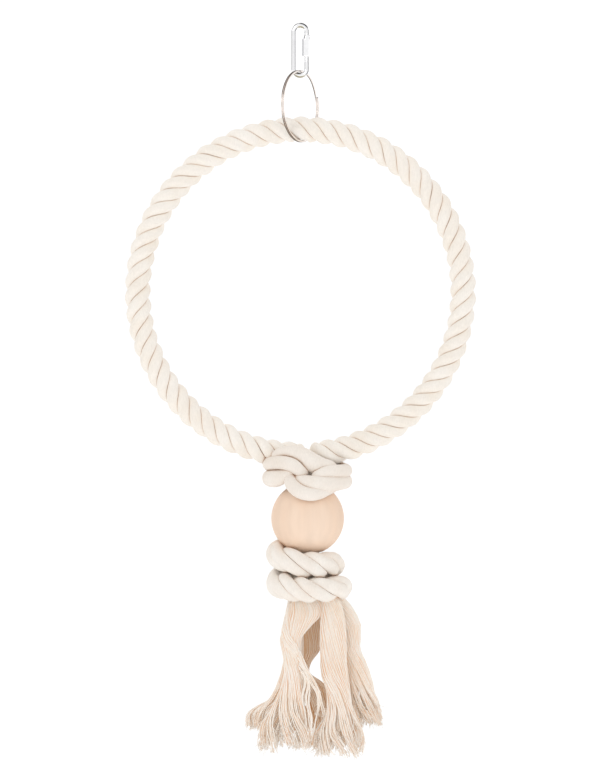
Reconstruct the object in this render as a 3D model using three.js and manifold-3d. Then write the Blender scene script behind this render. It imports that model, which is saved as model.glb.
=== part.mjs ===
// Bird rope ring: a ring of three-strand cotton rope on a wire core, closed by a knot, a wooden ball,
// a wound knot and six loose strand tails, hung from a split ring and a quick link.
// Millimetres, +Z up, the front faces -Y. The origin is where the quick link hangs on its hook.
import * as THREE from 'three';
import { mergeVertices } from 'three/addons/utils/BufferGeometryUtils.js';
import Module from 'manifold-3d';

const wasm = await Module();
wasm.setup();

const rad = THREE.MathUtils.degToRad;
const lerp = THREE.MathUtils.lerp;
const smooth = THREE.MathUtils.smoothstep;

// Clearances
const touchGap = 0.3;
const strandGap = 0.4;
const pressGap = 0.35;
const threadGap = 0.35;
const ballTurnGap = 0.5;

// Quick link and its nut
const linkWireD = 3.5;
const linkWidth = 12.8;
const linkHeight = 39.3;
const linkMouth = 5.2;
const nutAcrossFlats = 6.5;
const nutLength = 15.4;
const nutDrop = 5.4;
const nutChamfer = 0.7;
const nutTopTaper = 3.2;
const mouthBelowNutTop = 1.6;

// Split ring: flat wire in two turns, turned about the vertical to lie in a groove of the rope
const splitRingD = 51.35;
const splitWireWide = 1.5;
const splitWireThick = 0.75;
const splitTurnGap = 0.42;
const splitRingTurn = 60;
const splitStepSpan = 54;
const splitStepAt = 48;
const splitEndCut = 2;

// Rope ring
const ropeD = 18.4;
const grooveDepth = 2.3;
const strandRound = 6;
const layLength = 35;
const ropeRingR = 115.9;
const ringOffsetX = 0.2;
const coreWireD = 3;
const seatDent = 1.8;
const seatHalfLength = 7;
const seatFade = 9;
const ropeEndDome = 7;
const domeLeast = 0.3;
const ropeEndGap = 1.6;
const coreWireBack = 12;
const coreWireGap = 0.6;
const ropeReach = 30;

// Upper knot, ball and bundle of strands through the ball
const knotDrop = 14.6;
const knotX = 5.3;
const ballD = 51.8;
const ballDrop = 30.7;
const boreD = 18;
const bundleTopDrop = 4;
const bundleTopEase = 1.4;
const bundleBoreEase = 1;
const bundleNeckEase = 0.6;
const bundleNeckDrop = 2;
const bundleFootRise = 6;

// Lower knot: the rope wound twice round the bundle. Each station has the angle turned, the drop
// of the rope's axis and its half height. The lay has the angle turned and the turns laid there.
const windTop = 24.8;
const windStations = [
  [112, -2.6, 8.3], [180, 0.6, 9.3], [270, 7.5, 8.8], [360, 8, 8.2], [450, 13.8, 8.4],
  [540, 20.9, 9.9], [630, 25, 8.6], [720, 24.6, 8.3], [785, 28.8, 8.2],
];
const windLay = [
  [112, -1.2], [200, -1 / 3], [256.7, 0], [296, 1 / 3], [336, 2 / 3], [380, 1.1], [470, 2.4],
  [545, 10 / 3], [591.6, 11 / 3], [621.5, 4], [655, 13 / 3], [716, 4.72], [785, 5.4],
];
const windFoot = 32.6;
const windUpperR = 18.7;
const windLowerR = 21.8;
const windUpperShift = -1.8;
const windLowerShift = 1;
const windWidenFrom = 0.2;
const windWidenTo = 0.7;
const windEndDome = 7;
const windCoreEdge = 1;

// Tails
const tailDome = 6.5;

// Mesh steps
const ringStepsPerLay = 8;
const ringFacets = 3;
const windStepsPerLay = 10;
const windFacets = 4;
const strandSides = 8;
const linkSides = 12;
const linkBendSteps = 8;
const splitStepAngle = 11;
const coreSides = 6;
const coreSteps = 72;
const ropeSides = 24;
const ropeReachSteps = 16;
const tailSides = 10;
const fullTurn = 360;
const quarterTurn = 90;

// Materials from the photograph
const cotton = () => new THREE.MeshStandardMaterial({ color: 0xe9dccb, roughness: 0.95, metalness: 0 });
const wood = () => new THREE.MeshStandardMaterial({ color: 0xeccfae, roughness: 0.6, metalness: 0 });
const steel = () => new THREE.MeshStandardMaterial({ color: 0xc9c9cb, roughness: 0.2, metalness: 1 });
const darkSteel = () => new THREE.MeshStandardMaterial({ color: 0x77787a, roughness: 0.4, metalness: 1 });

const object = new THREE.Group();

function add(name, geometry, material) {
  const mesh = new THREE.Mesh(geometry, material);
  mesh.name = name;
  object.add(mesh);
  return mesh;
}

// Solids from rings of points, and joins and cuts

function signedVolume(position, index) {
  let total = 0;
  const p = [0, 1, 2].map(() => new THREE.Vector3());
  for (let i = 0; i < index.length; i += 3) {
    p.forEach((v, k) => v.fromArray(position, 3 * index[i + k]));
    total += p[0].dot(p[1].clone().cross(p[2]));
  }
  return total / 6;
}

function closedGeometry(position, index) {
  if (signedVolume(position, index) < 0) index.reverse();
  const geometry = new THREE.BufferGeometry();
  geometry.setAttribute('position', new THREE.Float32BufferAttribute(position, 3));
  geometry.setIndex(index);
  return geometry;
}

function loft(rings) {
  const count = rings[0].length;
  const position = rings.flat().flatMap((v) => v.toArray());
  const index = [];
  for (let i = 0; i + 1 < rings.length; i++) {
    for (let j = 0; j < count; j++) {
      const a = i * count + j;
      const b = i * count + ((j + 1) % count);
      index.push(a, b, b + count, a, b + count, a + count);
    }
  }
  const last = (rings.length - 1) * count;
  for (let j = 1; j + 1 < count; j++) {
    index.push(0, j + 1, j, last, last + j, last + j + 1);
  }
  return closedGeometry(position, index);
}

function toSolid(geometry) {
  const plain = geometry.clone();
  for (const name of Object.keys(plain.attributes)) {
    if (name !== 'position') plain.deleteAttribute(name);
  }
  const merged = mergeVertices(plain, 1e-4);
  const vertProperties = new Float32Array(merged.attributes.position.array);
  const triVerts = new Uint32Array(merged.index.array);
  return new wasm.Manifold(new wasm.Mesh({ numProp: 3, vertProperties, triVerts }));
}

function toGeometry(solid) {
  const mesh = solid.getMesh();
  const geometry = new THREE.BufferGeometry();
  geometry.setAttribute('position', new THREE.Float32BufferAttribute(mesh.vertProperties, 3));
  geometry.setIndex([...mesh.triVerts]);
  return geometry;
}

function cut(solid, cutters) {
  const left = cutters.reduce((rest, cutter) => rest.subtract(cutter), solid);
  const bodies = left.decompose().sort((a, b) => b.volume() - a.volume());
  return bodies[0].simplify(0.02);
}

// Levels and centres that follow from the sizes above

const linkWireR = linkWireD / 2;
const linkBendR = (linkWidth - linkWireD) / 2;
const linkInnerR = linkBendR - linkWireR;
const linkTopBendZ = linkWireR - linkBendR;
const linkLowBendZ = linkTopBendZ - (linkHeight - linkWidth);

const splitHalfWidth = splitWireThick + splitTurnGap / 2;
const splitSeatX = splitHalfWidth / Math.sin(rad(splitRingTurn));
const splitSeatZ = linkLowBendZ - Math.sqrt(linkInnerR ** 2 - splitSeatX ** 2) + touchGap;
const splitR = splitRingD / 2;
const splitZ = splitSeatZ + splitWireWide - splitR;

const ropeR = ropeD / 2;
const ropeTopZ = splitZ - splitR + splitWireWide + touchGap + ropeR - seatDent;
const ringZ = ropeTopZ - ropeRingR;
const ringLowZ = ringZ - ropeRingR;
const knotZ = ringLowZ - knotDrop;
const ballR = ballD / 2;
const ballZ = knotZ - ballDrop;
const boreR = boreD / 2;
const bundleR = boreR - ballTurnGap;
const bundleTopZ = knotZ - bundleTopDrop;
const windTopZ = ballZ - windTop;
const windBottomZ = windTopZ - windFoot;
const windTopAt = fullTurn / 2;
const windStart = windStations[0][0];
const windEnd = windStations[windStations.length - 1][0];
const windCoreR = windUpperR - ropeR - touchGap;
const windLowCoreR = windLowerR - ropeR - touchGap - Math.abs(windLowerShift);

// A rope strand fills a third of the rope: a shallow outer arc and a corner near the axis

const strandOut = ropeR - strandRound;
const gapHalfAngle = THREE.MathUtils.radToDeg(strandGap / 2 / (ropeR - grooveDepth));

function strandSection(apexR, facets) {
  const edge = 60 - gapHalfAngle;
  const outer = Array.from({ length: facets + 1 }, (_, i) => {
    const a = rad(lerp(-edge, edge, i / facets));
    const r = strandOut * Math.cos(a) + Math.sqrt(strandRound ** 2 - (strandOut * Math.sin(a)) ** 2);
    return { angle: a, r };
  });
  return [{ angle: 0, r: apexR }, ...outer];
}

// Quick link: an oval of round wire, its right arm cut open at the mouth that the nut bridges

const nutTopZ = -nutDrop;
const nutLowZ = nutTopZ - nutLength;
const mouthTopZ = nutTopZ - mouthBelowNutTop;
const mouthLowZ = mouthTopZ - linkMouth;

function roundWire(points, normals, radius, sides) {
  const side = new THREE.Vector3(0, 1, 0);
  return loft(points.map((p, i) => {
    const ring = [];
    for (let j = 0; j < sides; j++) {
      const a = (2 * Math.PI * (j + 0.5)) / sides;
      const out = normals[i].clone().multiplyScalar(radius * Math.cos(a));
      ring.push(p.clone().add(out).addScaledVector(side, radius * Math.sin(a)));
    }
    return ring;
  }));
}

function quickLink() {
  const points = [];
  const normals = [];
  const push = (x, z, nx, nz) => {
    points.push(new THREE.Vector3(x, 0, z));
    normals.push(new THREE.Vector3(nx, 0, nz));
  };
  push(linkBendR, mouthTopZ, 1, 0);
  for (let k = 0; k <= linkBendSteps; k++) {
    const a = (Math.PI * k) / linkBendSteps;
    push(linkBendR * Math.cos(a), linkTopBendZ + linkBendR * Math.sin(a), Math.cos(a), Math.sin(a));
  }
  for (let k = 0; k <= linkBendSteps; k++) {
    const a = Math.PI + (Math.PI * k) / linkBendSteps;
    push(linkBendR * Math.cos(a), linkLowBendZ + linkBendR * Math.sin(a), Math.cos(a), Math.sin(a));
  }
  push(linkBendR, mouthLowZ, 1, 0);
  return roundWire(points, normals, linkWireR, linkSides);
}

function linkNut() {
  const corner = nutAcrossFlats / 2 / Math.cos(Math.PI / 6);
  const bore = linkWireR + threadGap;
  const ends = (corner - nutAcrossFlats / 2) + nutChamfer;
  const hexRing = (z, r) => {
    const ring = [];
    for (let j = 0; j < 6; j++) {
      const a = (Math.PI / 3) * j;
      ring.push(new THREE.Vector3(linkBendR + r * Math.cos(a), r * Math.sin(a), z));
    }
    return ring;
  };
  const body = toSolid(loft([
    hexRing(nutLowZ, corner - ends),
    hexRing(nutLowZ + nutChamfer, corner),
    hexRing(nutTopZ - nutTopTaper, corner),
    hexRing(nutTopZ, corner - ends),
  ]));
  const drill = new THREE.CylinderGeometry(bore, bore, nutLength + 4, 16);
  drill.rotateX(Math.PI / 2);
  drill.translate(linkBendR, 0, (nutTopZ + nutLowZ) / 2);
  return toGeometry(body.subtract(toSolid(drill)));
}

// Split ring: two turns side by side, with the step from one to the other between their ends

function splitRing() {
  const u = new THREE.Vector3(Math.cos(rad(splitRingTurn)), Math.sin(rad(splitRingTurn)), 0);
  const n = new THREE.Vector3(Math.sin(rad(splitRingTurn)), -Math.cos(rad(splitRingTurn)), 0);
  const up = new THREE.Vector3(0, 0, 1);
  const centre = new THREE.Vector3(0, 0, splitZ);
  const half = splitStepSpan / 2;
  const from = half + splitEndCut;
  const to = 2 * fullTurn - half - splitEndCut;
  const pitch = splitWireThick + splitTurnGap;
  const count = Math.round((to - from) / splitStepAngle);
  const rings = [];
  for (let i = 0; i <= count; i++) {
    const t = lerp(from, to, i / count);
    const side = (smooth(t, fullTurn - half, fullTurn + half) - 0.5) * pitch;
    const a = rad(t + splitStepAt);
    const radial = u.clone().multiplyScalar(Math.cos(a)).addScaledVector(up, Math.sin(a));
    const corner = (r, s) => centre.clone().addScaledVector(radial, r).addScaledVector(n, side + s);
    const inner = splitR - splitWireWide;
    const thin = splitWireThick / 2;
    rings.push([corner(inner, -thin), corner(splitR, -thin), corner(splitR, thin), corner(inner, thin)]);
  }
  return loft(rings);
}

// Rope ring

const yAxis = new THREE.Vector3(0, 1, 0);
const ringCentre = new THREE.Vector3(ringOffsetX, 0, ringZ);
const ringEndAngle = THREE.MathUtils.radToDeg((knotX - ringOffsetX) / ropeRingR);
const ringHalfGap = THREE.MathUtils.radToDeg(ropeEndGap / 2 / ropeRingR);
const ringFrom = -quarterTurn + ringEndAngle + ringHalfGap;
const ringTo = fullTurn - quarterTurn + ringEndAngle - ringHalfGap;
const ringLength = ropeRingR * rad(ringTo - ringFrom);

function ringFrame(deg) {
  const out = new THREE.Vector3(Math.cos(rad(deg)), 0, Math.sin(rad(deg)));
  return { out, centre: ringCentre.clone().addScaledVector(out, ropeRingR) };
}

// The furthest that the strands reach, less where the split ring has pressed its seat into the underside

function seatLimit(arc, angle) {
  const along = 1 - smooth(Math.abs(arc), seatHalfLength, seatHalfLength + seatFade);
  const under = smooth(-Math.cos(angle), -0.4, 0.1);
  return ropeR - seatDent * along * under;
}

function domeScale(distance, dome) {
  if (distance >= dome) return 1;
  const u = 1 - distance / dome;
  return Math.max(domeLeast, Math.sqrt(1 - u * u));
}

function ringStrand(k) {
  const section = strandSection(coreWireD / 2 + coreWireGap, ringFacets);
  const steps = Math.round((ringLength / layLength) * ringStepsPerLay);
  const rings = [];
  for (let i = 0; i <= steps; i++) {
    const deg = lerp(ringFrom, ringTo, i / steps);
    const { out, centre } = ringFrame(deg);
    const arcFromTop = ropeRingR * rad(deg - quarterTurn);
    const phase = rad(120 + 120 * k) + (2 * Math.PI * arcFromTop) / layLength;
    const fromEnd = Math.min(ropeRingR * rad(deg - ringFrom), ropeRingR * rad(ringTo - deg));
    const end = domeScale(fromEnd, ropeEndDome);
    rings.push(section.map((s) => {
      const a = phase + s.angle;
      const r = Math.min(s.r, seatLimit(arcFromTop, a)) * end;
      return centre.clone().addScaledVector(out, r * Math.cos(a)).addScaledVector(yAxis, r * Math.sin(a));
    }));
  }
  return loft(rings);
}

function coreWire() {
  const back = THREE.MathUtils.radToDeg(coreWireBack / ropeRingR);
  const points = [];
  const normals = [];
  for (let i = 0; i <= coreSteps; i++) {
    const { out, centre } = ringFrame(lerp(ringFrom + back, ringTo - back, i / coreSteps));
    points.push(centre);
    normals.push(out);
  }
  return roundWire(points, normals, coreWireD / 2, coreSides);
}

// The rope's outer envelope near its ends, for cutting the knot's strands clear of it

function ropeEnvelope(from, to, grow) {
  const points = [];
  const normals = [];
  for (let i = 0; i <= ropeReachSteps; i++) {
    const { out, centre } = ringFrame(lerp(from, to, i / ropeReachSteps));
    points.push(centre);
    normals.push(out);
  }
  return toSolid(roundWire(points, normals, (ropeR + grow) / Math.cos(Math.PI / ropeSides), ropeSides));
}

// Knotted strands: round tubes along chosen points, each [x, y, z, radius] from the knot's centre.
// The first three come from the right rope, pass behind to the left lobe and cross the front to the
// right. The last three come from the left rope, round the right lobe, and cross over them.

const knotRoutes = [
  [[-25, -8.6, 12.6, 3], [-21, -11, 15.4, 3.5], [-16, -13, 16.9, 4], [-10.4, -15, 16.6, 4.7],
    [-3, -15.6, 14, 6], [4, -15, 8.6, 7.2], [10, -13.4, 6.4, 6.4], [15.8, -11.6, 4.8, 5.5],
    [19, -8, 0.6, 4.4]],
  [[5, 15, 9, 4], [-6, 20, 8.5, 4.8], [-19, 17, 8, 5], [-27, 5, 7.8, 4.9], [-25.6, -7, 8.6, 4.9],
    [-18, -16, 9.2, 5], [-10.6, -19.4, 7.4, 5], [-5.6, -19.2, 3.6, 4.6], [-1.6, -14.6, 0.2, 4.2]],
  [[7, 16, 2, 4], [-4, 21.5, 0.5, 5], [-17, 19, -1, 5.4], [-25.8, 8, -1.9, 6], [-25.4, -5, -2.2, 6.2],
    [-21.4, -12.6, -1.8, 6], [-16, -16.4, 0.2, 4.7], [-10.4, -16, 2.2, 3.7], [-6, -11.4, 1.4, 3.3]],
  [[-9, 11, 10, 4], [4, 12, 8, 4.6], [18, 11, 6, 4.8], [26.6, 2, 3.7, 4.8], [24.8, -10, 2.9, 4.9],
    [18.8, -17.4, 2.9, 4.9], [12.8, -20.2, 2.2, 4.5], [7.4, -20.6, 0.5, 3.8], [3.4, -17.6, -0.8, 3]],
  [[-8, 13, 3, 4], [5, 14.4, 1, 4.6], [18, 12.6, -1.6, 4.9], [26.2, 3, -4, 5.1],
    [24.2, -10, -4.6, 5.3], [17, -19, -5.4, 5.6], [8.4, -23, -5.4, 5.5], [1, -23.2, -4.4, 5],
    [-4.6, -20.8, -2.8, 3.9], [-7.6, -15.6, -0.6, 3.1]],
  [[-10, 15, -4, 4], [3, 17.4, -6, 4.6], [12, 15.4, -7, 4.5], [17.6, 5, -7.6, 4.2],
    [16.6, -8, -8.6, 4.2], [13, -17.6, -10, 4.3], [8.4, -22.8, -11.6, 4.7], [3.2, -25, -12.6, 4.9],
    [-2.8, -25.4, -11.8, 5], [-8, -24, -9.2, 5], [-11.6, -21, -5.2, 4.7], [-12.2, -16.4, -1.2, 4.2],
    [-9.8, -11, 1, 3.6]],
];

function tubeAlong(route, grow) {
  const places = route.map(([x, y, z]) => new THREE.Vector3(knotX + x, y, knotZ + z));
  const curve = new THREE.CatmullRomCurve3(places, false, 'centripetal');
  const steps = (route.length - 1) * 2;
  const frames = curve.computeFrenetFrames(steps, false);
  const rings = [];
  for (let i = 0; i <= steps; i++) {
    const u = i / steps;
    const t = curve.getUtoTmapping(u);
    const at = Math.min(t * (route.length - 1), route.length - 1 - 1e-6);
    const k = Math.floor(at);
    const radius = lerp(route[k][3], route[k + 1][3], at - k) + grow;
    const centre = curve.getPoint(t);
    if (grow > 0 && i === 0) centre.addScaledVector(frames.tangents[0], -grow);
    if (grow > 0 && i === steps) centre.addScaledVector(frames.tangents[steps], grow);
    const ring = [];
    for (let j = 0; j < strandSides; j++) {
      const a = (2 * Math.PI * j) / strandSides;
      const p = centre.clone().addScaledVector(frames.normals[i], radius * Math.cos(a));
      ring.push(p.addScaledVector(frames.binormals[i], radius * Math.sin(a)));
    }
    rings.push(ring);
  }
  return loft(rings);
}

// Wooden ball with its bore

function ballProfile() {
  const points = [];
  const edge = Math.asin(boreR / ballR);
  const steps = 16;
  for (let i = 0; i <= steps; i++) {
    const a = lerp(edge, Math.PI - edge, i / steps);
    points.push(new THREE.Vector2(ballR * Math.sin(a), -ballR * Math.cos(a)));
  }
  points.push(points[0].clone());
  return points;
}

function ball() {
  const geometry = new THREE.LatheGeometry(ballProfile(), 32);
  geometry.rotateX(Math.PI / 2);
  geometry.translate(knotX, 0, ballZ);
  return toGeometry(toSolid(geometry));
}

function ballEnvelope(grow) {
  const geometry = new THREE.SphereGeometry(ballR + grow, 40, 24);
  geometry.rotateX(Math.PI / 2);
  geometry.translate(knotX, 0, ballZ);
  return toSolid(geometry);
}

// Bundle of six strands, pressed together in the bore and between the turns of the lower knot

const boreHalf = Math.sqrt(ballR ** 2 - boreR ** 2);
const bundleProfile = [
  [bundleTopZ, bundleR - bundleTopEase],
  [ballZ + boreHalf, bundleR],
  [ballZ - boreHalf + bundleBoreEase, bundleR],
  [windTopZ - bundleNeckDrop, windCoreR - bundleNeckEase],
  [(windTopZ + windBottomZ) / 2, windCoreR],
  [windBottomZ + bundleFootRise, windLowCoreR],
  [windBottomZ, windLowCoreR],
];

function bundleStrand(k) {
  const wedge = (2 * Math.PI) / 6;
  const halfWide = wedge / 2 - strandGap / 2 / windCoreR;
  const middle = wedge * (k + 0.5);
  return loft(bundleProfile.map(([z, r]) => [
    [strandGap, 0], [r, -halfWide], [r, 0], [r, halfWide],
  ].map(([reach, turn]) => {
    const a = middle + turn;
    return new THREE.Vector3(knotX + reach * Math.cos(a), reach * Math.sin(a), z);
  })));
}

function bundleEnvelope(grow) {
  const profile = bundleProfile.map(([z, r], i) => {
    const end = i === 0 ? grow : i === bundleProfile.length - 1 ? -grow : 0;
    return new THREE.Vector2(r + grow, z + end);
  });
  const low = new THREE.Vector2(0, profile[profile.length - 1].y);
  const high = new THREE.Vector2(0, profile[0].y);
  const geometry = new THREE.LatheGeometry([low, ...profile.reverse(), high], 24);
  geometry.rotateX(Math.PI / 2);
  geometry.translate(knotX, 0, 0);
  return toSolid(geometry);
}

// Lower knot

function through(stations, column) {
  const angles = stations.map((row) => row[0]);
  const values = stations.map((row) => row[column]);
  const curve = new THREE.CubicInterpolant(angles, values, 1);
  return (deg) => curve.evaluate(deg)[0];
}

const windDrop = through(windStations, 1);
const windHalfHeight = through(windStations, 2);
const windTurnsLaid = through(windLay, 1);

function windPlace(deg) {
  const share = smooth((deg - windTopAt) / (windEnd - windTopAt), windWidenFrom, windWidenTo);
  const radius = lerp(windUpperR, windLowerR, share);
  const shift = lerp(windUpperShift, windLowerShift, share);
  const out = new THREE.Vector3(Math.cos(rad(deg)), Math.sin(rad(deg)), 0);
  const centre = new THREE.Vector3(knotX + shift, 0, windTopZ - windDrop(deg));
  return { out, centre: centre.addScaledVector(out, radius), tall: windHalfHeight(deg) / ropeR };
}

function windPoint({ out, centre, tall }, r, a) {
  const p = centre.clone().addScaledVector(out, r * Math.cos(a));
  p.z -= tall * r * Math.sin(a);
  return p;
}

const windArcPerLay = (windEnd - windStart) / (windTurnsLaid(windEnd) - windTurnsLaid(windStart));
const windSteps = Math.round(((windEnd - windStart) / windArcPerLay) * windStepsPerLay);

function windStrand(k) {
  const section = strandSection(windCoreEdge, windFacets);
  const rings = [];
  for (let i = 0; i <= windSteps; i++) {
    const deg = lerp(windStart, windEnd, i / windSteps);
    const place = windPlace(deg);
    const phase = rad(60 + 120 * k) + 2 * Math.PI * windTurnsLaid(deg);
    const fromEnd = windUpperR * rad(Math.min(deg - windStart, windEnd - deg));
    const end = domeScale(fromEnd, windEndDome);
    rings.push(section.map((s) => windPoint(place, s.r * end, phase + s.angle)));
  }
  return loft(rings);
}

// The least gap between the turns of the lower knot, from points round the rope at each angle

function leastWindGap() {
  const angleStep = 6;
  const around = 16;
  const outline = [];
  for (let deg = windStart; deg <= windEnd; deg += angleStep) {
    const place = windPlace(deg);
    for (let j = 0; j < around; j++) {
      outline.push({ deg, point: windPoint(place, ropeR, (2 * Math.PI * j) / around) });
    }
  }
  let least = Infinity;
  for (const one of outline) {
    for (const other of outline) {
      if (other.deg - one.deg < fullTurn / 2) continue;
      least = Math.min(least, one.point.distanceTo(other.point));
    }
  }
  return least;
}

console.log(`lower knot: least gap between its turns ${leastWindGap().toFixed(2)} mm`);

// Tails: loosened strands that hang from the lower knot. Each starts with its rounded top,
// [x, y, half x, half y] from the ball's axis, then has stations [drop, x, y, half x, half y].

const tailRoutes = {
  left_front: [[-1.6, -7.6, 9.4, 5], [9, -1.8, -8.6, 11.2, 5.8], [17, -6.2, -9.4, 10.4, 6],
    [27, -11.8, -9.4, 8, 5.8], [40, -11, -9.4, 6.8, 5.8], [56, -10.4, -9.4, 7.4, 6],
    [76, -13, -10, 11.6, 6.4], [92, -17.2, -10, 16.8, 6], [106, -18, -10, 17.2, 6]],
  left_side: [[-8, 2.4, 5.4, 4.4], [17, -9.8, 4.4, 7.2, 6.4], [43, -10, 4.6, 7.2, 6.6],
    [58, -13.2, 4.6, 8.4, 6.8], [67, -17, 4.6, 8.6, 6.8], [72.7, -21, 4.6, 9.4, 6.8],
    [77, -27, 4.6, 10.4, 6.6], [83, -32.6, 4.6, 10.2, 6.2], [91, -33, 4.6, 7, 5.6]],
  centre_front: [[15.8, -7.8, 7, 5.4], [9, 17.9, -8.8, 8, 5.8], [25, 18.1, -9.4, 9.8, 6],
    [52, 18.8, -9.4, 10, 6], [66, 22, -9.8, 9.2, 6.2], [80, 23, -10, 10.4, 6.4],
    [96, 19.6, -10, 16.5, 6], [113, 19, -10, 18, 6]],
  right_side: [[23, 4, 6, 5.6], [17, 30.4, 4.4, 7.4, 6.4], [36, 31.4, 4.6, 6.6, 6.6],
    [43, 33.6, 4.6, 7.6, 6.6], [69, 40, 4.6, 10, 7], [92, 46, 4.6, 10.4, 6]],
  back_left: [[1.4, 9.4, 4.4, 4], [17, 2, 17.6, 8.4, 5.4], [37, 1, 18, 8.4, 5.6],
    [48, -4, 18, 6.2, 5.6], [56, -3.6, 18, 6.4, 5.6], [62, 0, 18.4, 9.4, 5.8],
    [76, 2.6, 19, 9.4, 6], [99, -0.6, 19.4, 12, 5.6]],
  back_right: [[11.4, 7, 4.6, 4], [17, 19.6, 17.6, 8, 5.4], [43, 20.4, 18, 9, 5.6],
    [75, 24.8, 19, 12, 6], [107, 25.4, 19.4, 12.6, 5.6]],
};

const tailTopZ = windBottomZ - touchGap;
const tailOrigin = new THREE.Vector3(knotX, 0, tailTopZ);
const tailDomeShares = [[0, 0.35], [0.12, 0.6], [0.4, 0.88], [1, 1]];

function tail([top, ...stations]) {
  const [x0, y0, halfX0, halfY0] = top;
  const dome = tailDomeShares.map(([down, share]) => {
    return [down * tailDome, x0, y0, halfX0 * share, halfY0 * share];
  });
  return loft([...dome, ...stations].map(([down, x, y, halfX, halfY]) => {
    const ring = [];
    for (let j = 0; j < tailSides; j++) {
      const a = (2 * Math.PI * j) / tailSides;
      const point = new THREE.Vector3(x + halfX * Math.cos(a), y + halfY * Math.sin(a), -down);
      ring.push(point.add(tailOrigin));
    }
    return ring;
  }));
}

// The object

add('quick_link', quickLink(), steel());
add('quick_link_nut', linkNut(), steel());
add('split_ring', splitRing(), darkSteel());
for (let k = 0; k < 3; k++) add(`ring_strand_${k + 1}`, ringStrand(k), cotton());
add('core_wire', coreWire(), darkSteel());

const ballSpace = ballEnvelope(ballTurnGap);
const bundleSpace = bundleEnvelope(pressGap);
const ropeSpace = ropeEnvelope(ringTo - ropeReach, ringTo + ropeReach, pressGap);
const knotOrder = [5, 4, 3, 2, 1, 0];
const knotSolids = [];
const placed = [];
for (const k of knotOrder) {
  const cutters = [ballSpace, bundleSpace, ropeSpace, ...placed];
  knotSolids[k] = cut(toSolid(tubeAlong(knotRoutes[k], 0)), cutters);
  placed.push(toSolid(tubeAlong(knotRoutes[k], pressGap)));
}
knotSolids.forEach((solid, k) => add(`upper_knot_strand_${k + 1}`, toGeometry(solid), cotton()));

add('wooden_ball', ball(), wood());
for (let k = 0; k < 6; k++) add(`bundle_strand_${k + 1}`, bundleStrand(k), cotton());
for (let k = 0; k < 3; k++) {
  const solid = cut(toSolid(windStrand(k)), [ballSpace, bundleSpace]);
  add(`lower_knot_strand_${k + 1}`, toGeometry(solid), cotton());
}
for (const [name, stations] of Object.entries(tailRoutes)) {
  add(`tail_${name}`, tail(stations), cotton());
}

export default object;
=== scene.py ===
"""Bird rope ring: the looks. A knotted ring of laid cotton rope, a wooden ball and a frayed tassel,
hung from a split ring and a quick link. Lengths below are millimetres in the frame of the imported
model; meshes are made in metres."""
import math

import bpy
import numpy as np
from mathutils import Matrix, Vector


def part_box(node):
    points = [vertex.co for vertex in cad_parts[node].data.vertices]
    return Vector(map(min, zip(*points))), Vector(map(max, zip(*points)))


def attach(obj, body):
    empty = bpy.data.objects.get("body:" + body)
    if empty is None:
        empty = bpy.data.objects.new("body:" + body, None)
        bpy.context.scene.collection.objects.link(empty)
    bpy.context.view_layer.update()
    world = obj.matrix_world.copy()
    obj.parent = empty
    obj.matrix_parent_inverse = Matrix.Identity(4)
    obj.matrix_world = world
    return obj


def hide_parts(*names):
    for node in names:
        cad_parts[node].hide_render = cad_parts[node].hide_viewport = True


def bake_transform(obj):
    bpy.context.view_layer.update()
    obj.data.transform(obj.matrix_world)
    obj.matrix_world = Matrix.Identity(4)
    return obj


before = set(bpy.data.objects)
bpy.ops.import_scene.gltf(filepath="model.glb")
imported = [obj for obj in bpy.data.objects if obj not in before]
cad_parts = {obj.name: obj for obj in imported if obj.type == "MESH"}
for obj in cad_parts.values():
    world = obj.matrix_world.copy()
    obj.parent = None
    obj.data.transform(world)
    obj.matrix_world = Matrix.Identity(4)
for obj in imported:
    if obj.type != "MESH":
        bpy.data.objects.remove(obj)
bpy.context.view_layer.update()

MM = 0.001
FULL_TURN = 2 * math.pi

# The photograph: millimetres in a pixel at the ring, its size, and where the frame's origin is in it
PIXEL = 0.7125
IMAGE_WIDTH, IMAGE_HEIGHT = 600, 780
HANG_PIXEL = (300.2, 27.7)

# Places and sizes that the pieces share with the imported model. RING is the circle of the rope's axis,
# KNOT_Z the height of the upper knot's centre, WIND the coils of the lower knot, LAY the length of a
# strand's turn
ball_low, ball_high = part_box("wooden_ball")
BALL_X = (ball_low.x + ball_high.x) / 2 / MM
BALL_R = (ball_high.x - ball_low.x) / 2 / MM
BALL_Z = (ball_low.z + ball_high.z) / 2 / MM
BORE_R = 9.0
KNOT_Z = BALL_Z + 30.7
RING_X = 0.2
RING_R = 115.9
RING_Z = KNOT_Z + 14.6 + RING_R
ROPE_R = 9.2
LAY = 35.0
ROPE_END_GAP = 1.6
WIND_TOP_Z = BALL_Z - 24.8
WIND_FOOT = 32.6
WIND_BOTTOM_Z = WIND_TOP_Z - WIND_FOOT
TAIL_TOP_Z = WIND_BOTTOM_Z - 0.3


# Colours and material nodes

def linear(r, g, b):
    """A colour of the photograph, 0 to 255, as linear values."""
    out = []
    for c in (r, g, b):
        c = c / 255
        out.append(c / 12.92 if c <= 0.04045 else ((c + 0.055) / 1.055) ** 2.4)
    return (*out, 1)


def grey(value):
    return (value, value, value, 1)


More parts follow.
